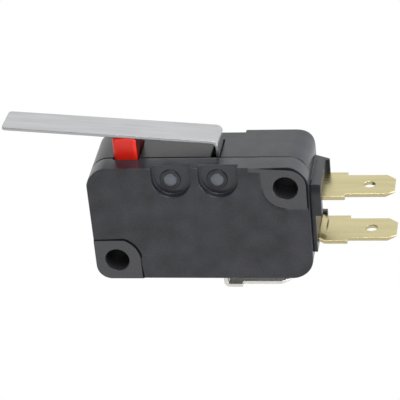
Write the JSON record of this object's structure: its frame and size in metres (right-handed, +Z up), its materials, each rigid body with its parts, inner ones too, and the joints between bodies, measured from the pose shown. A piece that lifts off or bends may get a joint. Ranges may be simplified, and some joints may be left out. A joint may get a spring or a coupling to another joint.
{
  "type": "lever micro switch",
  "caption": "Black snap-action micro switch with a red plunger, a straight steel hinge lever, brass quick-connect tabs and through mounting holes.",
  "frame": {"origin": "axis of the lower left mounting hole, in the plane of the front pads", "axes": "+X along the housing towards the side terminals, +Y from the cover to the back, +Z up towards the lever"},
  "size_m": [0.0488, 0.0103, 0.023],
  "materials": {
    "case_plastic": "moulded black thermoplastic, fine grain",
    "cover_plastic": "moulded black thermoplastic, fine grain, flat face",
    "plunger_plastic": "moulded red thermoplastic, smooth",
    "lever_steel": "rolled stainless sheet, blanked edges",
    "common_brass": "pale bright-dipped brass, blanked edges",
    "terminal_brass": "rolled brass sheet, blanked and bent",
    "contact_silver": "turned silver alloy, slightly dull",
    "leaf_bronze": "thin rolled bronze strip",
    "spring_steel": "drawn spring wire"
  },
  "bodies": {
    "housing": {"case": "case_plastic", "cover": "cover_plastic", "com_terminal": "common_brass", "nc_terminal": "terminal_brass", "no_terminal": "terminal_brass", "nc_contact": "contact_silver", "no_contact": "contact_silver"},
    "lever": {"lever": "lever_steel"},
    "plunger": {"plunger": "plunger_plastic"},
    "leaf": {"actuating_leaf": "leaf_bronze"},
    "arm": {"contact_arm": "leaf_bronze", "moving_contact": "contact_silver", "snap_spring": "spring_steel"}
  },
  "joints": [
    {"name": "lever_hinge", "type": "hinge", "parent": "housing", "child": "lever", "pos_m": [0.0135, 0.00515, 0.0106], "axis": [0, -1, 0], "range_deg": [0, 10], "stiffness_Nm_per_rad": 0.06, "springref_deg": -6.88},
    {"name": "plunger_slide", "type": "slide", "parent": "housing", "child": "plunger", "axis": [0, 0, -1], "range_m": [0, 0.00202]},
    {"name": "leaf_rock", "type": "hinge", "parent": "housing", "child": "leaf", "pos_m": [0.00895, 0.00515, 0.00449], "axis": [0, -1, 0], "range_deg": [0, 16.7]},
    {"name": "arm_swing", "type": "hinge", "parent": "housing", "child": "arm", "pos_m": [0.00955, 0.00515, 0.00602], "axis": [0, 1, 0], "range_deg": [0, 5.2], "deforming": ["snap_spring"]}
  ],
  "couplings": [
    {"joint": "plunger_slide", "follows": "lever_hinge", "m_per_rad": 0.0115},
    {"joint": "leaf_rock", "follows": "lever_hinge", "ratio": 1.652},
    {"joint": "arm_swing", "follows": "lever_hinge", "ratio": 0.51}
  ]
}
